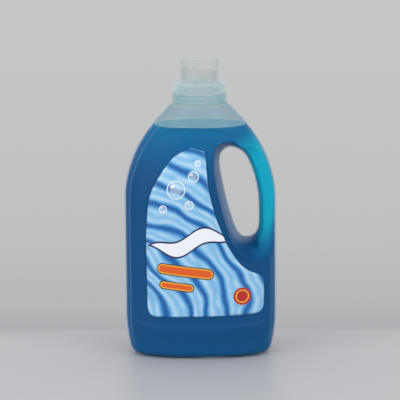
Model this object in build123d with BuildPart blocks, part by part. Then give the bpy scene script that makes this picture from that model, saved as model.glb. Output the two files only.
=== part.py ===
"""Laundry detergent bottle: a blown bottle with a through handle, its gel, pour spout, dosing cap and labels.

Frame: millimetres, +Z up, origin at the centre of the base. The front label faces -Y, the handle is at +X.
"""
from build123d import *
import math
import os

# ---- driving dimensions -------------------------------------------------------------------------
BODY_HALF_WIDTH = 69.9      # straight part of the body, seen from the front
BODY_HALF_DEPTH = 39.5      # straight part of the body, seen from the side
WALL = 1.0                  # blown wall
CROWN = 2.5                 # exponent of the body's plan section, 2 being an ellipse
SHOULDER_START = 146.0      # the sides are straight up to here
SHOULDER_RADIUS = 106.0     # then follow one arc, as far as 45 degrees
SHOULDER_TOP = 235.2        # the step where the shoulder meets the neck
NECK_ROOT_RADIUS = 24.6     # the shoulder's last, round section
FOOT_HEIGHT = 40.0          # the sides draw in below here
FOOT_TAPER = 5.6            # by this much at the base
HEEL_RADIUS = 7.0
PUSH_UP = 2.5               # hollow in the base, inside the standing rim
STANDING_RIM = 14.0

PANEL_DEPTH = 1.2           # how far the label panels lie below the body's skin
PANEL_HALF_WIDTH = 63.0
PANEL_BOTTOM = 32.0
PANEL_SPRING = 150.0        # the panel's arched top springs from here
PANEL_TOP = 214.0
LABEL_THICKNESS = 0.2

HANDLE_WIDTH = 16.5         # across the grip, seen from the front
HANDLE_DEPTH = 29.0         # front to back
SCOOP_REACH = 40.0          # depth at which the finger scoop's rim is given

NECK_RADIUS = 21.2
NECK_BORE_RADIUS = 19.6
NECK_TOP = 251.4
BEAD_RADIUS = 22.5          # snap bead that keeps the tamper band on the neck
BEAD_Z = 240.6
BEAD_HALF_HEIGHT = 1.6

BAND_RADIUS = 24.8
BAND_BORE_RADIUS = 23.2
BAND_RIDGE_RADIUS = 21.6    # inner ridge, under the bead
BAND_RIDGE_TOP = 238.2
BAND_BOTTOM = 235.6
BAND_TOP = 243.9

SKIRT_RADIUS = 24.0         # at the skirt's lower edge
SKIRT_DRAFT = 0.5           # less at its top
SKIRT_BORE_RADIUS = 22.5
SKIRT_BOTTOM = 244.3
SKIRT_TOP = 254.4
RIB_COUNT = 90
RIB_WIDTH = 0.8
RIB_HEIGHT = 0.45
RIB_MARGIN = 1.6            # plain skirt above and below the ribs
CUP_RADIUS = 17.6
CUP_TOP = 276.0
CAP_WALL = 1.1
CAP_ROUND = 1.5
SEAL_RADIUS = 20.3          # ring under the cap's shoulder, which closes on the spout's flange
SEAL_GAP = 0.15

SPOUT_RADIUS = 16.2
SPOUT_WALL = 1.1
FLANGE_RADIUS = 21.0
FLANGE_TOP = 252.6
TROUGH_FLOOR = 243.5
DRAIN_WIDTH = 5.0           # slot that lets the drips in the trough run back
DRAIN_TOP = 256.0
LIP_POURING = 267.2         # the lip's height on the pouring side, -X
LIP_MIDDLE = 263.6
LIP_HANDLE = 262.7          # and on the handle's side, +X

GEL_LEVEL = 215.0
SECTION_POINTS = 28         # round each plan section of the body
SECTION_HEIGHTS = [10, 22, 36, 70, 110, SHOULDER_START, 158, 170, 182, 193, 203, 212, 221, 229, SHOULDER_TOP]
CLEAR = 100.0               # reach of a cutter that only has to pass the body

# Outlines seen from the front as x and z, each run the same way round from its top: the opening,
# where the two mould halves pinch together, and the rim of the finger scoop at SCOOP_REACH. The grip
# covers the opening's right side again, so there the outline only has to lie inside it.
OPENING = [(28, 193), (19.5, 187), (18.4, 176), (21, 160), (25, 142), (30, 124.5), (36, 112.5),
           (44, 109.2), (53, 112), (57, 130), (56, 152), (50.5, 175), (40, 191)]
SCOOP_RIM = [(30, 203), (15, 198), (12.4, 180), (15, 160), (20, 140), (26.5, 118), (36, 99.5),
             (48, 91.5), (62, 92), (72, 108), (84, 150), (84, 190), (60, 214)]

# Stations down the grip: centre x and z, the way it runs in degrees from -X, width and depth.
GRIP = [
    (28.0, 205.0, 50, 24.0, 42.0),
    (46.5, 193.5, 54, 21.4, 36.0),
    (55.3, 178.0, 67, 18.6, 31.0),
    (60.0, 161.0, 81, 17.0, HANDLE_DEPTH),
    (BODY_HALF_WIDTH - HANDLE_WIDTH / 2, 143.0, 89, HANDLE_WIDTH, HANDLE_DEPTH),
    (BODY_HALF_WIDTH - HANDLE_WIDTH / 2, 122.0, 90, HANDLE_WIDTH, HANDLE_DEPTH),
    (60.0, 100.0, 92, 19.0, 36.0),
    (58.0, 84.0, 94, 20.0, 40.0),
]


# ---- the body's outer form ----------------------------------------------------------------------
def shoulder_blend(z):
    """0 on the straight body and 1 at the neck, easing in and out."""
    t = max(0.0, (z - SHOULDER_START) / (SHOULDER_TOP - SHOULDER_START))
    return 0.5 * (1 - math.cos(math.pi * t ** 1.2))


def foot_draw(z):
    return FOOT_TAPER * (max(0.0, FOOT_HEIGHT - z) / FOOT_HEIGHT) ** 2


def half_width(z):
    """Half of the front silhouette: straight, then one arc to 45 degrees, then a 45 degree line."""
    if z <= SHOULDER_START:
        return BODY_HALF_WIDTH - foot_draw(z)
    centre = BODY_HALF_WIDTH - SHOULDER_RADIUS
    rise = z - SHOULDER_START
    knee = SHOULDER_RADIUS * math.sin(math.radians(45))
    if rise <= knee:
        return centre + math.sqrt(SHOULDER_RADIUS ** 2 - rise ** 2)
    return max(centre + 2 * knee - rise, NECK_ROOT_RADIUS)


def half_depth(z):
    blend = shoulder_blend(z)
    return (BODY_HALF_DEPTH - foot_draw(z)) * (1 - blend) + NECK_ROOT_RADIUS * blend


def body_section(z, inset):
    """Crowned plan section of the body at height z, drawn in by inset."""
    power = 2 / (CROWN + (2 - CROWN) * shoulder_blend(z))
    points = []
    for k in range(SECTION_POINTS):
        turn = 2 * math.pi * k / SECTION_POINTS
        along = math.copysign(abs(math.cos(turn)) ** power, math.cos(turn))
        across = math.copysign(abs(math.sin(turn)) ** power, math.sin(turn))
        points.append(((half_width(z) - inset) * along, (half_depth(z) - inset) * across))
    with BuildSketch(Plane.XY.offset(z)) as section:
        with BuildLine():
            Spline(*points, periodic=True)
        make_face()
    return section.sketch


def body_loft(inset, bottom):
    """The body from bottom to the neck's root, with its skin drawn in by inset."""
    with BuildPart() as body:
        add(body_section(bottom, inset))
        for z in SECTION_HEIGHTS:
            if z > bottom + HEEL_RADIUS:
                add(body_section(z, inset))
        loft()
    return body.part


def panel_core(inset):
    """The body without the panels' depth: its skin is the panels' floor."""
    return body_loft(inset + PANEL_DEPTH, PANEL_BOTTOM - 10)


def panel_recess(inset):
    """What the arched label panels take away, front and back. Inside the wall they are wider by the wall."""
    side = PANEL_HALF_WIDTH + inset
    top = PANEL_TOP + inset
    with BuildPart() as recess:
        with BuildSketch(Plane.XZ.offset(-CLEAR)):
            with BuildLine():
                Polyline((-side, PANEL_SPRING), (-side, PANEL_BOTTOM - inset),
                         (side, PANEL_BOTTOM - inset), (side, PANEL_SPRING))
                ThreePointArc((side, PANEL_SPRING), (0, top), (-side, PANEL_SPRING))
            make_face()
        extrude(amount=2 * CLEAR)
        add(panel_core(inset), mode=Mode.SUBTRACT)
    return recess.part


def push_up(inset):
    """The shallow hollow in the base, which leaves a standing rim."""
    with BuildPart() as hollow:
        add(body_section(0, STANDING_RIM - inset))
        add(body_section(PUSH_UP + inset, STANDING_RIM + 4 - inset))
        loft()
    return hollow.part


# ---- finger opening and handle ------------------------------------------------------------------
def outline(points, depth, grow):
    """Closed smooth outline on a plane parallel to the front, each point moved outwards by grow."""
    moved = []
    for k, (x, z) in enumerate(points):
        before = points[k - 1]
        after = points[(k + 1) % len(points)]
        run = math.dist(before, after)
        moved.append((x + grow * (after[1] - before[1]) / run, z - grow * (after[0] - before[0]) / run))
    with BuildSketch(Plane.XZ.offset(depth)) as sketch:
        with BuildLine():
            Spline(*moved, periodic=True)
        make_face()
    return sketch.sketch


def finger_cut(grow):
    """Flared cut through the body, whose front and back halves meet at the pinch line."""
    with BuildPart() as cut:
        add(outline(OPENING, 0, grow))
        add(outline(SCOOP_RIM, SCOOP_REACH, grow))
        loft(ruled=True)
        mirror(about=Plane.XZ)
    return cut.part


def grip(inset):
    """The handle: oval sections that run from inside the shoulder down into the body."""
    with BuildPart() as handle:
        for x, z, lean, width, depth in GRIP:
            c = math.cos(math.radians(lean))
            s = math.sin(math.radians(lean))
            with BuildSketch(Plane(origin=(x, 0, z), x_dir=(s, 0, c), z_dir=(-c, 0, s))):
                Ellipse(width / 2 - inset, depth / 2 - inset)
        loft()
    return handle.part


def bottle_form(inset):
    """The bottle below its neck as a solid, drawn in by inset: 0 for its outside, WALL for its inside."""
    with BuildPart() as form:
        add(body_loft(inset, inset))
        fillet(form.faces().sort_by(Axis.Z)[0].edges(), HEEL_RADIUS - inset)
        add(push_up(inset), mode=Mode.SUBTRACT)
        add(panel_recess(inset), mode=Mode.SUBTRACT)
        add(finger_cut(inset), mode=Mode.SUBTRACT)
        add(grip(inset))
    return form.part


# ---- bottle: one blown shell --------------------------------------------------------------------
with BuildPart() as inside:
    add(bottle_form(WALL))
    split(bisect_by=Plane.XY.offset(SHOULDER_TOP - WALL), keep=Keep.BOTTOM)

with BuildPart() as bottle:
    add(bottle_form(0))
    with BuildSketch(Plane.XZ):
        with BuildLine():
            Polyline(
                (0, SHOULDER_TOP - WALL),
                (NECK_RADIUS, SHOULDER_TOP - WALL),
                (NECK_RADIUS, BEAD_Z - BEAD_HALF_HEIGHT),
                (BEAD_RADIUS, BEAD_Z - 0.2),
                (BEAD_RADIUS, BEAD_Z + 0.2),
                (NECK_RADIUS, BEAD_Z + BEAD_HALF_HEIGHT),
                (NECK_RADIUS, NECK_TOP),
                (0, NECK_TOP),
                close=True,
            )
        make_face()
    revolve(axis=Axis.Z)
    add(inside.part, mode=Mode.SUBTRACT)
    with BuildSketch(Plane.XY.offset(SHOULDER_TOP - 2 * WALL)):
        Circle(NECK_BORE_RADIUS)
    extrude(until=Until.LAST, mode=Mode.SUBTRACT)

# ---- gel: fills the bottle to its level ---------------------------------------------------------
with BuildPart() as gel_fill:
    add(inside.part)
    split(bisect_by=Plane.XY.offset(GEL_LEVEL), keep=Keep.BOTTOM)

# ---- pour spout: plug skirt, drip trough and a tube with a slanted lip ---------------------------
with BuildPart() as pour_spout:
    with BuildSketch(Plane.XZ):
        with BuildLine():
            Polyline(
                (SPOUT_RADIUS - SPOUT_WALL, TROUGH_FLOOR),
                (NECK_BORE_RADIUS, TROUGH_FLOOR),
                (NECK_BORE_RADIUS, NECK_TOP),
                (FLANGE_RADIUS, NECK_TOP),
                (FLANGE_RADIUS, FLANGE_TOP),
                (NECK_BORE_RADIUS - SPOUT_WALL, FLANGE_TOP),
                (NECK_BORE_RADIUS - SPOUT_WALL, TROUGH_FLOOR + SPOUT_WALL),
                (SPOUT_RADIUS, TROUGH_FLOOR + SPOUT_WALL),
                (SPOUT_RADIUS, CUP_TOP),
                (SPOUT_RADIUS - SPOUT_WALL, CUP_TOP),
                close=True,
            )
        make_face()
    revolve(axis=Axis.Z)
    with BuildSketch(Plane.XZ.offset(-CLEAR)):
        with BuildLine():
            ThreePointArc((-SPOUT_RADIUS - 1, LIP_POURING), (0, LIP_MIDDLE), (SPOUT_RADIUS + 1, LIP_HANDLE))
            Polyline((SPOUT_RADIUS + 1, LIP_HANDLE), (SPOUT_RADIUS + 1, CUP_TOP + 1),
                     (-SPOUT_RADIUS - 1, CUP_TOP + 1), (-SPOUT_RADIUS - 1, LIP_POURING))
        make_face()
    extrude(amount=2 * CLEAR, mode=Mode.SUBTRACT)
    with BuildSketch(Plane.YZ):
        with Locations((0, (TROUGH_FLOOR + SPOUT_WALL + DRAIN_TOP) / 2)):
            Rectangle(DRAIN_WIDTH, DRAIN_TOP - TROUGH_FLOOR - SPOUT_WALL)
    extrude(amount=SPOUT_RADIUS + 0.5, mode=Mode.SUBTRACT)

# ---- tamper band: snapped under the neck's bead --------------------------------------------------
with BuildPart() as tamper_band:
    with BuildSketch(Plane.XZ):
        with BuildLine():
            Polyline(
                (BAND_RIDGE_RADIUS, BAND_BOTTOM + 0.8),
                (BAND_BORE_RADIUS, BAND_BOTTOM),
                (BAND_RADIUS - 0.4, BAND_BOTTOM),
                (BAND_RADIUS, BAND_BOTTOM + 0.5),
                (BAND_RADIUS, BAND_TOP - 0.8),
                (BAND_RADIUS - 0.5, BAND_TOP),
                (BAND_BORE_RADIUS, BAND_TOP),
                (BAND_BORE_RADIUS, BAND_RIDGE_TOP + 1),
                (BAND_RIDGE_RADIUS, BAND_RIDGE_TOP),
                close=True,
            )
        make_face()
    revolve(axis=Axis.Z)

# ---- dosing cap: ribbed skirt, shoulder and cup in one moulding ----------------------------------
with BuildPart() as dosing_cap:
    with BuildSketch(Plane.XZ):
        with BuildLine():
            Polyline(
                (0, CUP_TOP),
                (CUP_RADIUS, CUP_TOP),
                (CUP_RADIUS, SKIRT_TOP),
                (SKIRT_RADIUS - SKIRT_DRAFT, SKIRT_TOP),
                (SKIRT_RADIUS, SKIRT_BOTTOM),
                (SKIRT_BORE_RADIUS, SKIRT_BOTTOM),
                (SKIRT_BORE_RADIUS, SKIRT_TOP - CAP_WALL),
                (SEAL_RADIUS, SKIRT_TOP - CAP_WALL),
                (SEAL_RADIUS, FLANGE_TOP + SEAL_GAP),
                (SEAL_RADIUS - CAP_WALL, FLANGE_TOP + SEAL_GAP),
                (SEAL_RADIUS - CAP_WALL, SKIRT_TOP - CAP_WALL),
                (CUP_RADIUS - CAP_WALL, SKIRT_TOP - CAP_WALL),
                (CUP_RADIUS - CAP_WALL, CUP_TOP - CAP_WALL),
                (0, CUP_TOP - CAP_WALL),
                close=True,
            )
        make_face()
    revolve(axis=Axis.Z)
    top_edges = dosing_cap.edges().filter_by(GeomType.CIRCLE).group_by(Axis.Z)
    fillet(top_edges[-1], CAP_ROUND)
    shoulder_edges = dosing_cap.edges().filter_by(GeomType.CIRCLE).filter_by(
        lambda edge: abs(edge.center().Z - SKIRT_TOP) < 0.01 and edge.radius > CUP_RADIUS + 1)
    fillet(shoulder_edges, CAP_ROUND)
    with BuildSketch(Plane.XY.offset(SKIRT_BOTTOM + RIB_MARGIN)):
        with PolarLocations(SKIRT_RADIUS - SKIRT_DRAFT, RIB_COUNT):
            Rectangle(2 * RIB_HEIGHT, RIB_WIDTH)
    extrude(amount=SKIRT_TOP - SKIRT_BOTTOM - 2 * RIB_MARGIN - 0.4)


# ---- labels: film that lies in the panels --------------------------------------------------------
def label_form():
    """The front label's outline carried through the body and trimmed to the panels' floor."""
    with BuildPart() as film:
        with BuildSketch(Plane.XZ.offset(-CLEAR)):
            with BuildLine():
                Spline((-49.8, 118), (-46.3, 152), (-36.4, 173), (-24, 189), (-8, 198))
                Line((-8, 198), (4.6, 194.5))
                Spline((4.6, 194.5), (7.6, 162), (13.4, 137), (23, 111.7), (33, 94.5), (42, 85), (53.5, 79))
                ThreePointArc((53.5, 79), (57, 75.5), (58.2, 70))
                Line((58.2, 70), (57.8, 52))
                ThreePointArc((57.8, 52), (55.2, 45.3), (49, 42.8))
                Line((49, 42.8), (-40, 41))
                ThreePointArc((-40, 41), (-46.4, 43.6), (-49, 50))
                Line((-49, 50), (-49.8, 118))
            make_face()
        extrude(amount=2 * CLEAR)
        add(body_loft(PANEL_DEPTH - LABEL_THICKNESS, PANEL_BOTTOM - 10), mode=Mode.INTERSECT)
        add(panel_core(0), mode=Mode.SUBTRACT)
    return film.part


films = label_form().solids().sort_by(Axis.Y)
with BuildPart() as front_label:
    add(films[0])

with BuildPart() as back_label:
    add(films[-1])

# ---- labels and export ---------------------------------------------------------------------------
bottle.part.label = "bottle"
gel_fill.part.label = "gel_fill"
pour_spout.part.label = "pour_spout"
tamper_band.part.label = "tamper_band"
dosing_cap.part.label = "dosing_cap"
front_label.part.label = "front_label"
back_label.part.label = "back_label"

os.makedirs("parts", exist_ok=True)
for piece in (bottle, gel_fill, pour_spout, tamper_band, dosing_cap, front_label, back_label):
    print(piece.part.label, round(piece.part.volume / 1000, 2), "ml", len(piece.part.solids()), "solid(s)")
    export_step(piece.part, f"parts/{piece.part.label}.step")
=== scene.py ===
"""A laundry detergent bottle with a through handle: blue gel, pour spout, dosing cap and printed labels.

Every piece is built in the model's frame. Sizes are in millimetres, and MM turns them into metres.
"""
import math

import bmesh
import bpy
import numpy as np
from mathutils import Matrix, Vector
from mathutils.geometry import delaunay_2d_cdt
from mathutils.kdtree import KDTree


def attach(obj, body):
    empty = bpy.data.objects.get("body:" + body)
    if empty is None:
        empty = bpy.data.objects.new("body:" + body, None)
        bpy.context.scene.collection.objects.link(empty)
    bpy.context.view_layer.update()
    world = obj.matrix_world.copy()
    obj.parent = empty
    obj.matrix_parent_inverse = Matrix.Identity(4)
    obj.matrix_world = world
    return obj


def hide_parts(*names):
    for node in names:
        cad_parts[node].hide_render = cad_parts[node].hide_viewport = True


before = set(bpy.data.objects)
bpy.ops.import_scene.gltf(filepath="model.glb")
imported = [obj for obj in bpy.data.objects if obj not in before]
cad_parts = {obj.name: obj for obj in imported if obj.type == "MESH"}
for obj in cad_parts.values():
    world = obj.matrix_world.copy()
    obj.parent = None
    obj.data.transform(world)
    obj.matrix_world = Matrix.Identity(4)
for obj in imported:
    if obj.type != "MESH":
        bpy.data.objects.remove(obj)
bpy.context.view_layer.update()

# ---- bottle --------------------------------------------------------------------------------------
# One blow-moulded shell of natural polyethylene. The two halves of the mould meet on a parting line all
# round and pinch the wall together round the finger opening, so each half is a height over the front
# outline: the outer skin is a front and a back half that share their rim, and the inner skin lies in it.
MM = 0.001
WALL = 1.0
BODY_HALF_WIDTH = 69.9
BODY_HALF_DEPTH = 39.5
SHOULDER_START = 146.0
SHOULDER_RADIUS = 106.0
SHOULDER_TOP = 235.2
SHOULDER_DRAW = 0.7
NECK_ROOT_RADIUS = 24.6
FOOT_HEIGHT = 40.0
FOOT_TAPER = 5.6
HEEL_RADIUS = 7.0
CROWN = 2.5
GRIP_HALF_DEPTH = 14.5
GRIP_ROUND = 6.0
PANEL_DEPTH = 1.2
PANEL_BOTTOM = 32.5
GEL_LEVEL = 215.0

# Moulded lines, by their distance in from the side: one groove on the left, three fine ones low on the
# right, and a soft ridge along the scoop's rim.
GROOVE_INSET = 3.7
GROOVE_DEPTH = 0.8
RIB_INSETS = (2.0, 3.9, 5.8)
RIB_DEPTH = 0.35
RIM_RIDGE = 0.3

# Where the opening's middle line runs, as heights and x: the body is left of it and the handle right.
GRIP_HEIGHTS = (109, 130, 150, 170, 185, 205)
GRIP_MIDDLE = (45, 42, 39, 33, 24, 14)

# How finely the round edges are divided: the neck's ring and the base's ring.
NECK_COUNT = 96
BASE_COUNT = 120

# Outlines seen from the front, as x and z: the finger opening, the rim of the scoop round it, and the
# sunken label panel, which the scoop cuts into on its right.
OPENING = [(27.5, 193.2), (20.6, 189.0), (18.1, 180.5), (19.6, 168.0), (23.4, 149.0), (28.3, 130.5),
           (33.0, 117.0), (37.6, 110.6), (43.6, 109.1), (49.4, 111.4), (52.9, 118.0), (53.5, 130.5),
           (53.1, 146.0), (51.3, 159.0), (47.6, 172.5), (42.3, 184.5), (36.0, 191.0)]
SCOOP_RIM = [(30, 203.0), (18.5, 200.5), (13.0, 193.0), (12.4, 181.0), (14.2, 166.6), (18.2, 147.4),
             (22.9, 128.0), (28.6, 111.0), (36.4, 99.0), (46.3, 92.5), (57.0, 91.0), (65.0, 97.0),
             (69.5, 112.0), (78.0, 140.0), (84.0, 170.0), (76.0, 200.0), (54.0, 213.0)]
PANEL = [(0, 214.2), (-13, 214.4), (-24, 212.6), (-34, 208.6), (-43.5, 201.8), (-51.5, 192.5),
         (-57.6, 181.5), (-61.4, 168.0), (-63.0, 150.0), (-63.2, 110.0), (-62.6, 70.0), (-61.4, 45.0),
         (-60.0, 37.5), (-55.0, 32.4), (-30.0, 32.2), (0, 32.2), (30.0, 32.2), (54.5, 32.4), (59.0, 38.0),
         (60.4, 50.0), (61.0, 75.0), (62.0, 95.0), (62.0, 140.0), (58.0, 175.0), (48.0, 196.0),
         (38.0, 205.0), (26.0, 209.4), (14.0, 212.8)]


def ease(low, high, value):
    """0 at low, 1 at high, and smooth between. It falls if low is the greater."""
    t = np.clip((value - low) / (high - low), 0, 1)
    return t * t * (3 - 2 * t)


def smooth_min(a, b, reach):
    """The lesser of two heights, with their crossing rounded off."""
    return np.minimum(a, b) - np.maximum(reach - np.abs(a - b), 0) ** 2 / (4 * reach)


def smooth_max(a, b, reach):
    return -smooth_min(-a, -b, reach)


def closed_curve(points, spacing):
    """A smooth closed line through the points, redrawn with evenly spaced ones."""
    p = np.array(points, float)[:, None, :]
    before, after, beyond = np.roll(p, 1, 0), np.roll(p, -1, 0), np.roll(p, -2, 0)
    t = np.linspace(0, 1, 24, endpoint=False)[None, :, None]
    line = 0.5 * (2 * p + (after - before) * t + (2 * before - 5 * p + 4 * after - beyond) * t ** 2
                  + (3 * p - before - 3 * after + beyond) * t ** 3).reshape(-1, 2)
    return spaced(np.vstack([line, line[:1]]), spacing)[:-1]


def spaced(line, spacing):
    """The same open line with evenly spaced points."""
    run = np.concatenate([[0], np.cumsum(np.hypot(*np.diff(line, axis=0).T))])
    at = np.linspace(0, run[-1], max(3, int(round(run[-1] / spacing))) + 1)
    return np.stack([np.interp(at, run, line[:, 0]), np.interp(at, run, line[:, 1])], 1)


AT_ONCE = 3000


def distance_to(line, points, closed=True):
    """How far each point is from the line, and negative inside it if it is closed. It works in batches."""
    a = line if closed else line[:-1]
    b = np.roll(line, -1, 0) if closed else line[1:]
    d = b - a
    out = np.empty(len(points))
    for start in range(0, len(points), AT_ONCE):
        p = points[start:start + AT_ONCE, None, :]
        t = np.clip(((p - a) * d).sum(2) / (d ** 2).sum(1), 0, 1)
        near = np.sqrt(((p - a - t[:, :, None] * d) ** 2).sum(2).min(1))
        if closed:
            over = (a[:, 1] > p[:, :, 1]) != (b[:, 1] > p[:, :, 1])
            cross = a[:, 0] + d[:, 0] * (p[:, :, 1] - a[:, 1]) / np.where(d[:, 1] == 0, 1, d[:, 1])
            near = np.where((over & (p[:, :, 0] < cross)).sum(1) % 2 == 1, -near, near)
        out[start:start + AT_ONCE] = near
    return out


def inward(line):
    """Unit normals of an anticlockwise closed line that point into it."""
    run = np.roll(line, -1, 0) - np.roll(line, 1, 0)
    run /= np.hypot(*run.T)[:, None]
    return np.stack([-run[:, 1], run[:, 0]], 1)


def shoulder_blend(z):
    """0 on the straight body and 1 at the neck, easing in and out."""
    t = np.clip((z - SHOULDER_START) / (SHOULDER_TOP - SHOULDER_START), 0, 1)
    return 0.5 * (1 - np.cos(np.pi * t ** 1.2))


def foot_draw(z):
    """How far the skin draws in towards the base: a slow taper, then the heel's round."""
    low = np.clip(HEEL_RADIUS - z, 0, HEEL_RADIUS)
    heel = HEEL_RADIUS - np.sqrt(HEEL_RADIUS ** 2 - low ** 2)
    return FOOT_TAPER * (np.maximum(0, FOOT_HEIGHT - z) / FOOT_HEIGHT) ** 2 + heel


def half_width(z):
    """The front silhouette: straight, nearly one arc to 45 degrees, then a 45 degree line to the neck."""
    rise = np.maximum(z - SHOULDER_START, 0)
    knee = SHOULDER_RADIUS * math.sin(math.radians(45))
    arc = BODY_HALF_WIDTH - SHOULDER_RADIUS + np.sqrt(SHOULDER_RADIUS ** 2 - np.minimum(rise, knee) ** 2)
    drawn = SHOULDER_DRAW * ease(150, 185, z) * ease(SHOULDER_TOP, 222, z)
    return np.maximum(arc - np.maximum(rise - knee, 0), NECK_ROOT_RADIUS) - foot_draw(z) - drawn


def half_depth(z):
    """Half of the side silhouette."""
    blend = shoulder_blend(z)
    return (BODY_HALF_DEPTH - foot_draw(z)) * (1 - blend) + NECK_ROOT_RADIUS * blend


def right_side():
    """The right side of the front silhouette, from the base up to the neck."""
    heel = HEEL_RADIUS * (1 - np.cos(np.linspace(0, np.pi / 2, 8)))
    z = np.concatenate([heel, np.linspace(8.5, SHOULDER_TOP, 150)])
    return np.stack([half_width(z), z], 1)


def silhouette(side):
    """The whole front outline, anticlockwise, with the row of points along the neck and along the base."""
    turn = np.linspace(0, np.pi, NECK_COUNT // 2 + 1)[1:-1]
    top = np.stack([NECK_ROOT_RADIUS * np.cos(turn), np.full(len(turn), SHOULDER_TOP)], 1)
    turn = np.linspace(np.pi, 0, BASE_COUNT // 2 + 1)[1:-1]
    spread = np.sign(np.cos(turn)) * np.abs(np.cos(turn)) ** (2 / CROWN)
    base = np.stack([side[0, 0] * spread, np.zeros(len(turn))], 1)
    return np.vstack([side, top, side[::-1] * (-1, 1), base])


SIDE = right_side()
OUTLINE = silhouette(SIDE)
OPENING_LINE = closed_curve(OPENING, 1.25)
RIM_LINE = closed_curve(SCOOP_RIM, 1.5)
PANEL_LINE = closed_curve(PANEL, 1.6)


def side_distance(p):
    """Distance to the nearer side of the silhouette."""
    return distance_to(SIDE, np.abs(p), closed=False)


def scoop(opening, rim, full):
    """Half depth of the flared wall, from the pinched web to the rim, where it meets the full depth."""
    share = opening / np.maximum(opening + np.abs(rim), 1e-6)
    along = np.where(rim < 0, share, 1 + rim / 5)
    web = np.sqrt(1 - (1 - np.clip(opening, 0, 1)) ** 2)
    return web + np.maximum(full - 1, 0) * np.maximum(along, 0) ** 1.7


def grip_side(p):
    """1 on the handle's side of the opening's middle line, 0 on the body's side."""
    middle = np.interp(p[:, 1], GRIP_HEIGHTS, GRIP_MIDDLE)
    reach = np.interp(p[:, 1], [150, 185], [9, 24])
    return ease(0, 1, (p[:, 0] - middle) / reach)


def grip_depth(p):
    """Half depth of the handle, which swells into the shoulder at its top."""
    return GRIP_HALF_DEPTH + 22 * ease(96, 126, (p[:, 1] - p[:, 0]) / math.sqrt(2))


def body_depth(p):
    """Half depth of the plain body, before its scoop and its moulded lines."""
    crown = CROWN + (2 - CROWN) * shoulder_blend(p[:, 1])
    across = np.clip(np.abs(p[:, 0]) / half_width(p[:, 1]), 0, 1)
    return half_depth(p[:, 1]) * (1 - across ** crown) ** (1 / crown)


def skin_depth(p):
    """Half depth of the bottle's outer skin, with its panel, grooves, ribs, scoop and handle."""
    x, z = p[:, 0], p[:, 1]
    opening = distance_to(OPENING_LINE, p)
    rim = distance_to(RIM_LINE, p)
    side = side_distance(p)
    panel = ease(0.7, -0.7, distance_to(PANEL_LINE, p))
    ledge = np.where(z < 60, ease(PANEL_BOTTOM - 2.9, PANEL_BOTTOM + 2.9, z), 1)
    body = body_depth(p) - PANEL_DEPTH * np.minimum(panel, ledge) * ease(-1, 2, rim)
    groove = np.exp(-((side - GROOVE_INSET) / 0.55) ** 2) * ease(9, 16, z) * ease(222, 212, z)
    body = body - GROOVE_DEPTH * groove * (x < 0)
    for inset in RIB_INSETS:
        rib = np.exp(-((side - inset) / 0.45) ** 2) * ease(12, 20, z) * ease(99, 91, z)
        body = body - RIB_DEPTH * rib * (x > 0)
    body = body + RIM_RIDGE * np.exp(-((rim - 0.8) / 1.0) ** 2) * ease(206, 196, z)
    rounding = np.sqrt(1 - (1 - np.clip(opening / GRIP_ROUND, 0, 1)) ** 2.2)
    handle = grip_depth(p) * rounding * grip_side(p)
    cut = scoop(opening, rim, body_depth(p))
    soft = 2 + 12 * ease(172, 188, z) * ease(0, 4, opening)
    depth = smooth_min(body, smooth_max(cut, handle, soft), 2.4)
    edge = np.minimum(side, np.maximum(opening, 0))
    return np.where(edge < 1e-4, 0, np.clip(np.minimum(depth, body), 0, None))


def thinned(points, fixed, gap):
    """The points inside the outline that stay at least gap from the fixed ones and from each other."""
    points = points[(distance_to(OUTLINE, points) < -0.6) & (distance_to(OPENING_LINE, points) > 0.6)]
    near = KDTree(len(fixed))
    for k, (x, z) in enumerate(fixed):
        near.insert((x, z, 0), k)
    near.balance()
    cells = {}
    kept = []
    for x, z in points:
        if near.find((x, z, 0))[2] < gap:
            continue
        cell = (int(x // gap), int(z // gap))
        around = [(cell[0] + i, cell[1] + j) for i in (-1, 0, 1) for j in (-1, 0, 1)]
        close = [q for key in around for q in cells.get(key, [])]
        if all((x - u) ** 2 + (z - v) ** 2 > gap * gap for u, v in close):
            cells.setdefault(cell, []).append((x, z))
            kept.append((x, z))
    return np.array(kept)


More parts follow.
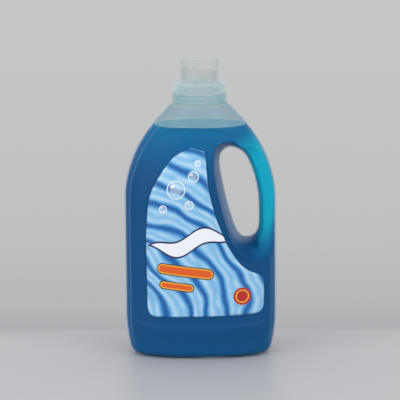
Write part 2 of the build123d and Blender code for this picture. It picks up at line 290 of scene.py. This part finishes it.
def mesh_points():
    """Points over the outline: rows that follow each edge and moulded line, and a plain grid between."""
    sides = np.vstack([SIDE, SIDE[::-1] * (-1, 1)])
    normals = inward(OUTLINE)
    left_from = len(SIDE) + NECK_COUNT // 2 - 1
    normals = np.vstack([normals[:len(SIDE)], normals[left_from:left_from + len(SIDE)]])
    side_rows = (0.02, 0.09, 0.26, 0.55, 1.0, 1.5, 2.0, 2.5, 2.9, 3.3, 3.7, 4.1, 4.5, 5.0, 5.5, 6.1, 7.0)
    at_side = np.vstack([sides + normals * d for d in side_rows])
    open_rows = (0.05, 0.2, 0.5, 0.9, 1.4, 1.9, 2.5, 3.1, 3.8, 4.5, 5.3, 6.1, 7.0, 8.0, 9.2, 10.5)
    at_opening = np.vstack([OPENING_LINE - inward(OPENING_LINE) * d for d in open_rows])
    at_opening = at_opening[side_distance(at_opening) > 8.1]
    near = np.vstack([at_side, at_opening])
    near = near[(near[:, 1] > 0.5) & (near[:, 1] < SHOULDER_TOP - 0.6)]
    near = near[distance_to(OUTLINE, near) < -0.01]
    rows = [RIM_LINE + inward(RIM_LINE) * d for d in (-3, -2, -1.2, -0.4, 0.4, 1.2, 2, 3)]
    rows += [PANEL_LINE + inward(PANEL_LINE) * d for d in (-1.5, -0.8, -0.4, 0, 0.4, 0.8, 1.5)]
    level = np.linspace(-58, 58, 66)
    heel = HEEL_RADIUS * (1 - np.cos(np.linspace(0.15, 1.57, 7)))
    for z in (29.0, 30.2, 31.4, 32.6, 33.8, 35.0, 36.2, *heel):
        rows.append(np.stack([level, np.full(len(level), z)], 1))
    lines = thinned(np.vstack(rows), near, 0.45)
    grid_x, grid_z = np.meshgrid(np.arange(-70, 71, 2.1), np.arange(1, 236, 1.9))
    grid_x[1::2] += 1.05
    grid = thinned(np.stack([grid_x.ravel(), grid_z.ravel()], 1), np.vstack([near, lines]), 1.25)
    return np.vstack([near, lines, grid])


def triangulated(borders, inner_points):
    """Plan points and anticlockwise triangles inside the first closed border and outside the others."""
    points = [tuple(q) for border in borders for q in border] + [tuple(q) for q in inner_points]
    edges = []
    start = 0
    for border in borders:
        edges += [(start + k, start + (k + 1) % len(border)) for k in range(len(border))]
        start += len(border)
    made = delaunay_2d_cdt([Vector(q) for q in points], edges, [], 0, 1e-7)
    plan = np.array([tuple(v) for v in made[0]])
    faces = np.array(made[2])
    middle = plan[faces].mean(1)
    keep = distance_to(borders[0], middle) < 0
    for hole in borders[1:]:
        keep &= distance_to(hole, middle) > 0
    return plan, faces[keep]


def two_halves(plan, depth, faces):
    """Front and back skins over one plan, which share the points where the depth is nothing."""
    shared = depth < 1e-6
    back = np.where(shared, np.arange(len(plan)), len(plan) + np.cumsum(~shared) - 1)
    front_points = np.stack([plan[:, 0], -depth, plan[:, 1]], 1)
    back_points = (front_points * (1, -1, 1))[~shared]
    return np.vstack([front_points, back_points]), np.vstack([faces, back[faces][:, ::-1]])


def ring(radius_x, radius_y, z, count, power=1.0):
    """A level ring of points, a circle or a crowned oval."""
    turn = -2 * np.pi * np.arange(count) / count
    along = np.sign(np.cos(turn)) * np.abs(np.cos(turn)) ** power
    across = np.sign(np.sin(turn)) * np.abs(np.sin(turn)) ** power
    return np.stack([radius_x * along, radius_y * across, np.full(count, float(z))], 1)


def skinned(rings):
    """Quads between rings of equal count, one after the other."""
    count = len(rings[0])
    quads = []
    for low in range(0, (len(rings) - 1) * count, count):
        high = low + count
        for i in range(count):
            after = (i + 1) % count
            quads.append((low + i, low + after, high + after, high + i))
    return np.vstack(rings), quads


def built(name, parts, weld=0.004):
    """One smooth-shaded object from several lists of points in mm and faces, welded where they meet."""
    mesh = bpy.data.meshes.new(name)
    points = []
    faces = []
    for part_points, part_faces in parts:
        faces += [tuple(int(i) + len(points) for i in face) for face in part_faces]
        points += [tuple(float(c) * MM for c in q) for q in part_points]
    mesh.from_pydata(points, [], faces)
    bm = bmesh.new()
    bm.from_mesh(mesh)
    bmesh.ops.remove_doubles(bm, verts=bm.verts, dist=weld * MM)
    bmesh.ops.recalc_face_normals(bm, faces=bm.faces)
    bm.to_mesh(mesh)
    bm.free()
    mesh.polygons.foreach_set("use_smooth", [True] * len(mesh.polygons))
    piece = bpy.data.objects.new(name, mesh)
    bpy.context.collection.objects.link(piece)
    return piece


THREAD_PITCH = 5.0
THREAD_TURNS = 1.1
THREAD_STEPS = int(72 * THREAD_TURNS)


def screw_ridge(root, crest, base_z, root_width, start=0.0):
    """A helical ridge with a tapered run-out at each end, as closed points and faces."""
    sections = []
    for k in range(THREAD_STEPS + 1):
        turned = THREAD_TURNS * k / THREAD_STEPS
        angle = 2 * np.pi * (start + turned)
        z = base_z + THREAD_PITCH * turned
        fade = float(ease(0, 5, min(k, THREAD_STEPS - k)))
        height = (crest - root) * fade
        profile = [(root, -root_width / 2), (root + height, -root_width / 6),
                   (root + height, root_width / 6), (root, root_width / 2)]
        for r, dz in profile:
            sections.append((r * math.cos(angle), r * math.sin(angle), z + dz * max(fade, 0.05)))
    faces = [(4 * k + i, 4 * k + (i + 1) % 4, 4 * k + 4 + (i + 1) % 4, 4 * k + 4 + i)
             for k in range(THREAD_STEPS) for i in range(4)]
    faces += [(0, 1, 2, 3), tuple(4 * THREAD_STEPS + i for i in (3, 2, 1, 0))]
    return np.array(sections), faces


plan, plan_faces = triangulated([OUTLINE, OPENING_LINE], mesh_points())
plan_depth = skin_depth(plan)
skin_points, skin_faces = two_halves(plan, plan_depth, plan_faces)

# The base: a flat standing rim inside the heel, then a shallow push-up.
BASE_RINGS = [(0, 0), (2.5, 0), (5.0, 0), (6.6, 0.05), (7.6, 0.5), (9.0, 1.5), (10.6, 2.2), (12.6, 2.5),
              (22, 2.6), (30, 2.7)]
base_x = float(half_width(0.0))
base_y = float(half_depth(0.0))
base_rings = [ring(base_x - inset, base_y - inset, z, BASE_COUNT, 2 / CROWN) for inset, z in BASE_RINGS]
base_points, base_faces = skinned(base_rings)
last_ring = len(base_points) - BASE_COUNT
base_points = np.vstack([base_points, [(0, 0, BASE_RINGS[-1][1])]])
for i in range(BASE_COUNT):
    base_faces.append((last_ring + i, last_ring + (i + 1) % BASE_COUNT, len(base_points) - 1))

outer_skin = built("outer_skin", [(skin_points, skin_faces), (base_points, base_faces)])
outer = np.array([tuple(v.co) for v in outer_skin.data.vertices]) / MM
outer_normal = np.array([tuple(v.normal) for v in outer_skin.data.vertices])
outer_faces = [tuple(f.vertices) for f in outer_skin.data.polygons]
bpy.data.objects.remove(outer_skin)


def inset_skin(inset):
    """The outer skin moved in along its normals, whose halves never cross the parting plane."""
    moved = outer - outer_normal * inset
    moved[:, 1] = np.where(outer[:, 1] < 0, np.minimum(moved[:, 1], 0), np.maximum(moved[:, 1], 0))
    return moved


# Where the shoulder meets the neck, the inner skin ends on a ring of its own.
NECK_SHRINK = 0.96
inner = inset_skin(WALL)
at_neck = outer[:, 2] > SHOULDER_TOP - 1e-3
inner[at_neck] = outer[at_neck] * (NECK_SHRINK, NECK_SHRINK, 1) - (0, 0, WALL)
inner_root = NECK_ROOT_RADIUS * NECK_SHRINK

# The neck: root step, snap bead for the tamper band, plain land and lip, then the bore back down.
NECK = [(24.6, 235.2), (24.2, 235.4), (22.2, 235.4), (21.5, 235.6), (21.2, 236.2), (21.2, 238.9),
        (21.6, 239.5), (22.5, 240.3), (22.5, 240.8), (21.6, 241.8), (21.2, 242.3), (21.2, 250.9),
        (20.9, 251.4), (19.9, 251.4), (19.6, 251.0), (19.6, 236.6), (19.9, 235.2), (21.0, 234.5),
        (inner_root, 234.2)]
neck_points, neck_faces = skinned([ring(r, r, z, NECK_COUNT) for r, z in NECK])
neck_thread = screw_ridge(root=21.1, crest=22.1, base_z=244.8, root_width=1.6)
bottle = built("blown_bottle", [(outer, outer_faces), (inner, [f[::-1] for f in outer_faces]),
                                (neck_points, neck_faces), neck_thread])


class Field:
    """A shader node's output. Operators on it add Math nodes, and node() adds any other."""

    def __init__(self, tree, socket=None):
        self.tree = tree
        self.socket = socket

    def node(self, kind, sockets, settings=(), stops=(), output=0):
        """A node of that kind: settings first, then a ramp's stops, then its sockets' values or links."""
        made = self.tree.nodes.new("ShaderNode" + kind)
        for name, value in dict(settings).items():
            setattr(made, name, value)
        for k, (place, colour) in enumerate(stops):
            ramp = made.color_ramp
            stop = ramp.elements[k] if k < len(ramp.elements) else ramp.elements.new(1)
            stop.position = place
            stop.color = colour
        for name, value in sockets.items():
            if isinstance(value, Field):
                self.tree.links.new(value.socket, made.inputs[name])
            else:
                made.inputs[name].default_value = value
        return Field(self.tree, made.outputs[output])

    def maths(self, operation, *others):
        """A Math node of this and any other values, in that order."""
        return self.node("Math", dict(enumerate((self, *others))), {"operation": operation})

    def __add__(self, other):
        return self.maths("ADD", other)

    __radd__ = __add__

    def __sub__(self, other):
        return self.maths("SUBTRACT", other)

    def __rsub__(self, other):
        return self.node("Math", {0: other, 1: self}, {"operation": "SUBTRACT"})

    def __mul__(self, other):
        return self.maths("MULTIPLY", other)

    __rmul__ = __mul__

    def __truediv__(self, other):
        return self.maths("DIVIDE", other)

    def __pow__(self, other):
        return self.maths("POWER", other)

    def __abs__(self):
        return self.maths("ABSOLUTE")

    def step(self, low, high):
        """0 below low, 1 above high and smooth between, or falling if low is the greater."""
        if low > high:
            return 1 - self.step(high, low)
        return self.node("MapRange", {0: self, 1: low, 2: high}, {"interpolation_type": "SMOOTHSTEP"})

    def between(self, first, second):
        """A colour that goes from the first to the second as this goes from 0 to 1."""
        return self.node("Mix", {0: self, 6: first, 7: second}, {"data_type": "RGBA"}, output=2)

    def into(self, shader, name):
        self.tree.links.new(self.socket, shader.inputs[name])


def tint(red, green, blue):
    """A colour as it looks, 0 to 255 a channel, as the linear colour that shaders take."""
    channels = (c / 255 for c in (red, green, blue))
    return (*(c / 12.92 if c <= 0.04045 else ((c + 0.055) / 1.055) ** 2.4 for c in channels), 1.0)


def new_finish(name, roughness, ior=1.5):
    """A new material, its shader, and a Field to start its sums from."""
    material = bpy.data.materials.new(name)
    material.use_nodes = True
    shader = material.node_tree.nodes["Principled BSDF"]
    shader.inputs["Roughness"].default_value = roughness
    shader.inputs["IOR"].default_value = ior
    return material, shader, Field(material.node_tree)


def places(start):
    """The object's own x, y and z in millimetres, and the point itself in metres."""
    point = start.node("TexCoord", {}, output=3)
    parts = [start.node("SeparateXYZ", {0: point}, output=k) * 1000 for k in range(3)]
    return (*parts, point)


def wall_finish():
    """Satin natural polyethylene: a thin haze over the gel, milkier where there is only air behind it."""
    material, shader, start = new_finish("blown_wall", 0.3)
    z, point = places(start)[2:]
    graze = start.node("LayerWeight", {"Blend": 0.5}, output=1)
    head = z.step(GEL_LEVEL - 2, GEL_LEVEL + 2)
    web = start.node("Attribute", {}, {"attribute_name": "web"}, output=2)
    flow = start.node("TexNoise", {"Vector": point, "Scale": 60.0, "Detail": 2.0})
    neck = z.step(SHOULDER_TOP - 4.2, SHOULDER_TOP + 2.8)
    haze = head.between(tint(50, 150, 205), tint(52, 156, 182))
    haze = web.between(neck.between(haze, tint(166, 210, 217)), tint(150, 166, 188))
    haze.into(shader, "Base Color")
    alpha = 0.01 + 0.34 * graze ** 4 + head * 0.21 - neck * 0.16 + web * 0.45 + 0.02 * flow
    alpha.maths("MINIMUM", 0.95).into(shader, "Alpha")
    peel = start.node("TexNoise", {"Vector": point, "Scale": 110.0, "Detail": 1.0})
    start.node("Bump", {"Strength": 0.04, "Distance": 0.0001, "Height": peel}).into(shader, "Normal")
    return material


def inner_finish():
    """The wall's inner face, which the gel wets and which hardly shows."""
    material, shader, start = new_finish("inner_wall", 0.5)
    z = places(start)[2]
    shader.inputs["Base Color"].default_value = tint(145, 192, 205)
    (0.02 + 0.14 * z.step(GEL_LEVEL - 2, GEL_LEVEL + 2)).into(shader, "Alpha")
    return material


bottle.data.materials.append(wall_finish())
bottle.data.materials.append(inner_finish())

# The faces whose points all lie on the inner skin take the second finish.
inner_places = KDTree(len(inner))
for k, q in enumerate(inner):
    inner_places.insert(q, k)
inner_places.balance()
for face in bottle.data.polygons:
    corners = [bottle.data.vertices[v].co / MM for v in face.vertices]
    if all(inner_places.find(q)[2] < 0.005 for q in corners):
        face.material_index = 1

# The web is the pinched wall beside the opening, on the body's side only.
bottle_plan = np.array([(v.co.x, v.co.z) for v in bottle.data.vertices]) / MM
bottle_open = distance_to(OPENING_LINE, bottle_plan)
web = ease(3.6, 0.2, bottle_open) * (1 - grip_side(bottle_plan))
bottle.data.attributes.new("web", "FLOAT", "POINT").data.foreach_set("value", web)
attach(bottle, "bottle")
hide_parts("bottle")

# ---- gel -----------------------------------------------------------------------------------------
# 1.5 litres of clear blue washing gel, which fills the bottle to just below the neck and runs down the
# hollow handle. It shows as dark blue where the bottle is deep, and as light cyan in the thin handle,
# which is partly painted light: the backdrop's light shining through the thin gel.
GEL_INSET = 1.06
DEEPEST = 80.0

# Where the thin handle's gel ends and the deep body's begins, as heights and x.
THIN_HEIGHTS = (109, 130, 150, 170, 190, 205)
THIN_FROM = (45, 42, 39, 35, 29, 24)


def gel_behind(p):
    """How much gel stands behind the skin, front to back in mm."""
    opening = distance_to(OPENING_LINE, p)
    rim = distance_to(RIM_LINE, p)
    x, z = p[:, 0], p[:, 1]
    swell = 24 * ease(129, 72, z) + 16 * ease(96, 132, (z - x) / math.sqrt(2))
    handle = smooth_max(scoop(opening, rim, half_depth(z)), GRIP_HALF_DEPTH + swell, 3.0)
    side = ease(-4, 10, x - np.interp(z, THIN_HEIGHTS, THIN_FROM))
    full = half_depth(z)
    return 2 * (full * (1 - side) + smooth_min(full, handle, 5.0) * side)


def painted_line_highlights(p):
    """Painted highlights where the moulded lines beside the panel and the sides' rounded edge catch the
    light through the gel.
    """
    side = side_distance(p)
    edge = np.exp(-((side - 1.0) / 1.3) ** 2)
    left = 0.42 * np.exp(-((side - 5.0) / 0.7) ** 2) + 0.25 * edge
    ribs = sum(np.exp(-((side - inset) / 0.6) ** 2) for inset in (1.0, 3.0, 4.9))
    low = ease(100, 90, p[:, 1])
    right = 0.3 * ribs * low + 0.3 * edge * (1 - low)
    return np.where(p[:, 0] < 0, left, right) * ease(8, 16, p[:, 1])


def gel_body():
    """The inner skin filled to the gel's level, with its own surface on top."""
    points = inset_skin(GEL_INSET)
    points[np.abs(points[:, 1]) < 0.04, 1] = 0
    faces = [f for f in outer_faces if np.abs(points[list(f), 1]).max() > 1e-6]
    gel = built("gel", [(points, faces)], weld=0.02)
    bm = bmesh.new()
    bm.from_mesh(gel.data)
    bmesh.ops.bisect_plane(bm, geom=bm.verts[:] + bm.edges[:] + bm.faces[:], dist=1e-7,
                           plane_co=(0, 0, GEL_LEVEL * MM), plane_no=(0, 0, 1), clear_outer=True)
    rim = [e for e in bm.edges if all(abs(v.co.z - GEL_LEVEL * MM) < 1e-6 for v in e.verts)]
    top = bmesh.ops.edgeloop_fill(bm, edges=rim)["faces"]
    for edge in rim:
        edge.smooth = False
    for face in top:
        face.smooth = False
        face.material_index = 1
    bmesh.ops.triangulate(bm, faces=top)
    bmesh.ops.recalc_face_normals(bm, faces=bm.faces)
    bm.to_mesh(gel.data)
    bm.free()
    p = np.array([(v.co.x, v.co.z) for v in gel.data.vertices]) / MM
    gel.data.attributes.new("behind", "FLOAT", "POINT").data.foreach_set("value", gel_behind(p))
    pinch = ease(6.8, 0.4, distance_to(OPENING_LINE, p)) * (1 - grip_side(p))
    gel.data.attributes.new("pinch", "FLOAT", "POINT").data.foreach_set("value", pinch)
    # Painted highlights on the moulded lines, kept as a point attribute.
    gel.data.attributes.new("line", "FLOAT", "POINT").data.foreach_set("value", painted_line_highlights(p))
    return gel


def gel_finish():
    """Its colour by the depth of gel, and lighter cyan where it is thin as painted light from behind. It
    has painted highlights on the moulded lines, and is paler by the pinched wall.
    """
    material, shader, start = new_finish("gel", 0.55, 1.2)
    behind = start.node("Attribute", {}, {"attribute_name": "behind"}, output=2)
    pinch = start.node("Attribute", {}, {"attribute_name": "pinch"}, output=2)
    line = start.node("Attribute", {}, {"attribute_name": "line"}, output=2)
    # The gel's own blue by its depth; its light cyan where thin is partly painted light shining through
    # from behind.
    depth_tone_with_backlight = start.node("ValToRGB", {0: behind / DEEPEST}, stops=[
        (0.20, tint(20, 188, 220)), (0.36, tint(0, 170, 200)), (0.48, tint(0, 144, 182)),
        (0.62, tint(0, 112, 160)), (0.76, tint(0, 98, 152)), (0.96, tint(0, 74, 128))])
    # Painted highlights on the moulded lines lighten the gel's colour.
    line_highlighted = line.between(depth_tone_with_backlight, tint(92, 140, 180))
    pinch.between(line_highlighted, tint(158, 170, 194)).into(shader, "Base Color")
    return material


def gel_top_painted_light():
    """The smooth level surface, in a lighter blue than the gel: painted light from above on its upward
    face.
    """
    material, shader, _ = new_finish("gel_surface_painted_light", 0.15, 1.42)
    shader.inputs["Base Color"].default_value = tint(94, 168, 194)
    return material


gel = gel_body()
gel.data.materials.append(gel_finish())
# The level top takes the lighter finish, painted light from above.
gel.data.materials.append(gel_top_painted_light())
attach(gel, "bottle")
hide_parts("gel_fill")

# ---- labels --------------------------------------------------------------------------------------
# Two printed gloss films, stuck in the sunken panels front and back. The print is a silky light blue
# ground with plain motifs: a white wave band, two orange bars, bubbles and a red roundel.
LABEL_THICKNESS = 0.2
LABEL_LEFT = [(-49.8, 118), (-46.3, 152), (-36.4, 173), (-24, 189), (-8, 198)]
LABEL_RIGHT = [(4.6, 194.5), (7.6, 162), (13.4, 137), (23, 111.7), (33, 94.5), (42, 85), (53.5, 79)]
LABEL_CORNERS = [((53.5, 79), (58.3, 76.8), (58.2, 70)), ((57.8, 52), (57.6, 43.0), (49, 42.8)),
                 ((-40, 41), (-48.8, 40.9), (-49, 50))]


def smooth_line(points):
    """An open smooth line through the points."""
    p = np.array(points, float)
    p = np.vstack([2 * p[0] - p[1], p, 2 * p[-1] - p[-2]])
    out = []
    for a, b, c, d in zip(p[:-3], p[1:-2], p[2:-1], p[3:]):
        for t in np.linspace(0, 1, 12, endpoint=False):
            out.append(0.5 * (2 * b + (c - a) * t + (2 * a - 5 * b + 4 * c - d) * t ** 2
                              + (3 * b - a - 3 * c + d) * t ** 3))
    return np.vstack([out, p[-2:-1]])


def rounded(a, corner, b, steps=8):
    """The round between two straight edges, as a curve that leaves the first and meets the second."""
    t = np.linspace(0, 1, steps)[:, None]
    return (1 - t) ** 2 * np.array(a) + 2 * t * (1 - t) * np.array(corner) + t ** 2 * np.array(b)


def label_outline():
    """The film's cut edge: curved sides, and rounded corners at its foot."""
    left = smooth_line(LABEL_LEFT)
    right = smooth_line(LABEL_RIGHT)
    loop = np.vstack([left, right, *(rounded(*corner) for corner in LABEL_CORNERS), left[:1]])
    return spaced(loop[::-1], 1.6)[:-1]


def label_film(name, facing):
    """The film as a closed sheet: its printed face, its edge and its glued face."""
    border = label_outline()
    grid_x, grid_z = np.meshgrid(np.arange(-50, 59, 2.4), np.arange(41, 199, 2.2))
    grid_x[1::2] += 1.2
    grid = np.stack([grid_x.ravel(), grid_z.ravel()], 1)
    grid = grid[distance_to(border, grid) < -0.9]
    flat, faces = triangulated([border], grid)
    floor = body_depth(flat) - PANEL_DEPTH
    glued = np.stack([flat[:, 0], facing * floor, flat[:, 1]], 1)
    printed = np.stack([flat[:, 0], facing * (floor + LABEL_THICKNESS), flat[:, 1]], 1)
    count = len(flat)
    edges = {}
    for f in faces:
        for a, b in zip(f, np.roll(f, -1)):
            edges[(int(a), int(b))] = True
    rim = [(a, b) for a, b in edges if (b, a) not in edges]
    walls = [(b, a, count + a, count + b) for a, b in rim]
    printed_faces = [tuple(int(i) + count for i in f) for f in faces]
    glued_faces = [tuple(int(i) for i in f[::-1]) for f in faces]
    return built(name, [(np.vstack([glued, printed]), printed_faces + glued_faces + walls)], weld=0.001)


def capsule(x, z, centre, half_length, radius, tilt):
    """Distance to a round-ended bar: below nothing inside it."""
    c = math.cos(math.radians(tilt))
    s = math.sin(math.radians(tilt))
    along = (x - centre[0]) * c + (z - centre[1]) * s
    across = (z - centre[1]) * c - (x - centre[0]) * s
    past = (abs(along) - half_length).maths("MAXIMUM", 0.0)
    return (past ** 2 + across ** 2).maths("SQRT") - radius


def reach(x, z, middle):
    """Distance from a middle."""
    return ((x - middle[0]) ** 2 + (z - middle[1]) ** 2).maths("SQRT")


def shape(below, distance, edge, colour):
    """The print below with a flat colour over it, where the distance is less than edge."""
    return distance.step(edge + 0.12, edge - 0.12).between(below, colour)


# The print: where its motifs lie and their sizes, and its flat colours.
SILK_MIDDLE = (-82, 30)
BUBBLES = ((-22, 160, 8.5), (-6, 172, 5.0), (-10, 146, 4.2), (-34, 142, 3.6), (-2, 184, 2.8))
BARS = (((-14, 84), 21, 4.4), ((-22, 70), 12, 3.2))
BAR_TILT = -7
ROUNDEL = (38, 60)
RED = tint(186, 30, 26)


def label_finish():
    """Gloss print with a silky ground and plain motifs."""
    material, shader, start = new_finish("label_print", 0.22)
    x, _, z, point = places(start)
    drift = start.node("TexNoise", {"Vector": point, "Scale": 22.0, "Detail": 1.0}) - 0.5
    fine = start.node("TexNoise", {"Vector": point, "Scale": 70.0, "Detail": 1.5}) - 0.5

    # Folds of silk that sweep round a middle beyond the label's lower left.
    sweep_at = reach(x, z, SILK_MIDDLE) * 0.34 + drift * 11
    broad = sweep_at.maths("SINE")
    crease = (sweep_at * 2 + fine * 3 + 1.3).maths("SINE")
    silk = 0.46 + broad * 0.3 + crease * 0.2 + fine * 0.12
    ground = start.node("ValToRGB", {0: silk}, stops=[
        (0.0, tint(20, 96, 168)), (0.3, tint(70, 150, 210)), (0.62, tint(140, 196, 234)),
        (1.0, tint(222, 237, 248))])

    # Bubbles: clear rings with a light spot.
    for bx, bz, radius in BUBBLES:
        away = reach(x, z, (bx, bz))
        rim = abs(away - (radius - 0.45)).step(0.75, 0.25)
        ground = (rim * 0.9).between(ground, tint(240, 247, 252))
        inside = away.step(radius, radius * 0.35) * 0.35
        ground = inside.between(ground, tint(236, 245, 252))
        spot = capsule(x, z, (bx - radius * 0.35, bz + radius * 0.38), radius * 0.12, radius * 0.12, 40)
        ground = shape(ground, spot, 0.0, tint(255, 255, 255))

    # White wave band with a navy edge.
    run = (x + 9) / 36
    swing = (run * 4.6).maths("SINE")
    band = abs((z - 113) - x * 0.2 - swing * 4.2) - 7.4 * (1 - run ** 2)
    ground = shape(ground, band, 1.7, tint(28, 28, 84))
    ground = shape(ground, band, 0.0, tint(240, 244, 250))

    # Two orange bars with a dark edge, one long and one short.
    for centre, half_length, radius in BARS:
        bar = capsule(x, z, centre, half_length, radius, BAR_TILT)
        ground = shape(ground, bar, 0.9, tint(36, 34, 60))
        ground = shape(ground, bar, 0.0, tint(246, 176, 40))
        ground = shape(ground, bar, -1.1, tint(226, 92, 28))

    # Red roundel with a yellow ring.
    roundel = reach(x, z, ROUNDEL)
    ground = shape(ground, roundel, 8.2, RED)
    ground = shape(ground, roundel, 6.2, tint(244, 190, 50))
    ground = shape(ground, roundel, 5.2, RED)

    ground.into(shader, "Base Color")
    start.node("Bump", {"Strength": 0.08, "Distance": 0.0002, "Height": fine}).into(shader, "Normal")
    return material


print_finish = label_finish()
for label_name, facing in (("front_label", -1), ("back_label", 1)):
    film = label_film(label_name + "_film", facing)
    film.data.materials.append(print_finish)
    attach(film, "bottle")
    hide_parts(label_name)

# ---- pour spout ----------------------------------------------------------------------------------
# One natural polypropylene moulding pressed into the neck: a plug skirt, a drip trough with a drain slot,
# and a tube with a slanted lip that stands up inside the cap.
CAP_SHOULDER = 255.0


def clear_finish(name, colour, low, high, roughness=0.2, foot=None):
    """Clear polypropylene: nearly nothing face on, milky on edge. Foot is its colour below the shoulder."""
    material, shader, start = new_finish(name, roughness)
    z, point = places(start)[2:]
    graze = start.node("LayerWeight", {"Blend": 0.5}, output=1)
    cloud = start.node("TexNoise", {"Vector": point, "Scale": 120.0, "Detail": 2.0})
    shader.inputs["Base Color"].default_value = colour
    if foot:
        below = z.step(CAP_SHOULDER + 2, CAP_SHOULDER - 2)
        below.between(colour, foot).into(shader, "Base Color")
    alpha = low + (high - low) * graze ** 2 + 0.05 * (cloud - 0.5)
    alpha.maths("MAXIMUM", 0.02).into(shader, "Alpha")
    start.node("Bump", {"Strength": 0.05, "Distance": 0.0002, "Height": cloud}).into(shader, "Normal")
    return material


def refinish(node, material):
    """Gives a CAD piece its moulded finish."""
    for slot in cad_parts[node].material_slots:
        slot.material = material


spout_plastic = clear_finish("spout_plastic", tint(176, 188, 188), 0.08, 0.62, 0.3, tint(200, 220, 222))
refinish("pour_spout", spout_plastic)

# ---- tamper band ---------------------------------------------------------------------------------
# The ring at the foot of the cap, moulded with it. Its inner ridge snaps under the neck's bead, so it
# turns with the cap but stays down when the cap climbs its thread.
refinish("tamper_band", clear_finish("band_plastic", tint(140, 197, 206), 0.2, 0.6))

# ---- dosing cap ----------------------------------------------------------------------------------
# One clear polypropylene moulding: a ribbed skirt with a screw thread inside it, a shoulder that seals on
# the spout, and a cup that measures a dose when the cap is turned over.
cap_plastic = clear_finish("cap_plastic", tint(204, 210, 209), 0.09, 0.65, foot=tint(214, 236, 238))
refinish("dosing_cap", cap_plastic)

cap_ridge = screw_ridge(root=22.55, crest=21.7, base_z=245.4, root_width=1.5, start=0.5)
cap_thread = built("cap_thread", [cap_ridge])
cap_thread.data.materials.append(clear_finish("thread_plastic", tint(214, 222, 221), 0.08, 0.35))
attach(cap_thread, "cap")

# ---- floor, light and camera ---------------------------------------------------------------------
# A wide, pale satin board. The bottle stands on its near part, and its far part is toned as a backdrop,
# with a painted band of shade close behind the bottle. Two upright softboxes light the bottle from the
# front left and the front right.

# The backdrop's tones run back from BACK_FROM over BACK_RUN, and take over from the lit board close
# behind the bottle. Their darker band just behind the bottle is painted shade, and they grow lighter
# further back.
BACK_FROM = -200
BACK_RUN = 2400
BACKDROP_TONES_AND_SHADE = [(0.0, tint(192, 192, 194)), (0.104, tint(186, 186, 189)), (0.119, tint(174, 175, 178)),
              (0.16, tint(183, 184, 186)), (0.3, tint(191, 192, 193)), (0.95, tint(199, 199, 199))]
SWEEP_SIZE = 12


def sweep_finish():
    """Lit satin board in front, and behind it a tone of its own for camera, mirror and glass rays."""
    material, shader, start = new_finish("sweep", 0.42)
    y = places(start)[1]
    shader.inputs["Base Color"].default_value = tint(196, 197, 200)
    tree = material.node_tree
    tone = start.node("ValToRGB", {0: (y - BACK_FROM) / BACK_RUN}, stops=BACKDROP_TONES_AND_SHADE)
    glow = start.node("Emission", {"Color": tone, "Strength": 1.0})
    camera_ray, glossy_ray, through_ray = (start.node("LightPath", {}, output=k) for k in (0, 4, 6))
    seen = camera_ray.maths("MAXIMUM", glossy_ray.maths("MAXIMUM", through_ray))
    mask = seen * y.step(40, 95)
    mix = start.node("MixShader", {0: mask, 1: Field(tree, shader.outputs[0]), 2: glow})
    tree.links.new(mix.socket, tree.nodes["Material Output"].inputs["Surface"])
    return material


bpy.ops.mesh.primitive_plane_add(size=SWEEP_SIZE, location=(0, 0, 0))
floor = bpy.context.object
floor.name = "sweep"
floor.data.materials.append(sweep_finish())

BOX_WIDTH = 1.5
BOX_HEIGHT = 1.8
LIT_POINT = Vector((0, 0, 0.14))


def softbox(name, place, watts):
    """An upright soft light that faces the bottle."""
    lamp = bpy.data.lights.new(name, "AREA")
    lamp.shape = "RECTANGLE"
    lamp.size = BOX_WIDTH
    lamp.size_y = BOX_HEIGHT
    lamp.energy = watts
    box = bpy.data.objects.new(name, lamp)
    box.location = place
    box.rotation_euler = (LIT_POINT - Vector(place)).to_track_quat("-Z", "Y").to_euler()
    bpy.context.collection.objects.link(box)


softbox("left_softbox", (-1.7, -1.3, 0.9), 19)
softbox("right_softbox", (1.6, -1.5, 0.9), 17)

world = bpy.data.worlds.new("studio")
world.use_nodes = True
fill_light = world.node_tree.nodes["Background"]
fill_light.inputs["Color"].default_value = (1, 1, 1, 1)
fill_light.inputs["Strength"].default_value = 0.7
scene = bpy.context.scene
scene.world = world
scene.view_settings.view_transform = "Standard"
scene.cycles.transparent_max_bounces = 32

CAMERA_DISTANCE = 2.45
CAMERA_RISE = 11.5
CAMERA_ROLL = -0.4
LENS_LENGTH = 238.8
aim = Vector((-0.0002, 0, 0.1432))
lens = bpy.data.cameras.new("camera")
lens.sensor_width = 36
lens.lens = LENS_LENGTH
camera = bpy.data.objects.new("camera", lens)
rise = math.radians(CAMERA_RISE)
camera.location = aim + CAMERA_DISTANCE * Vector((0, -math.cos(rise), math.sin(rise)))
look = (aim - camera.location).to_track_quat("-Z", "Y").to_matrix()
camera.rotation_euler = (look @ Matrix.Rotation(math.radians(CAMERA_ROLL), 3, "Z")).to_euler()
bpy.context.collection.objects.link(camera)
scene.camera = camera
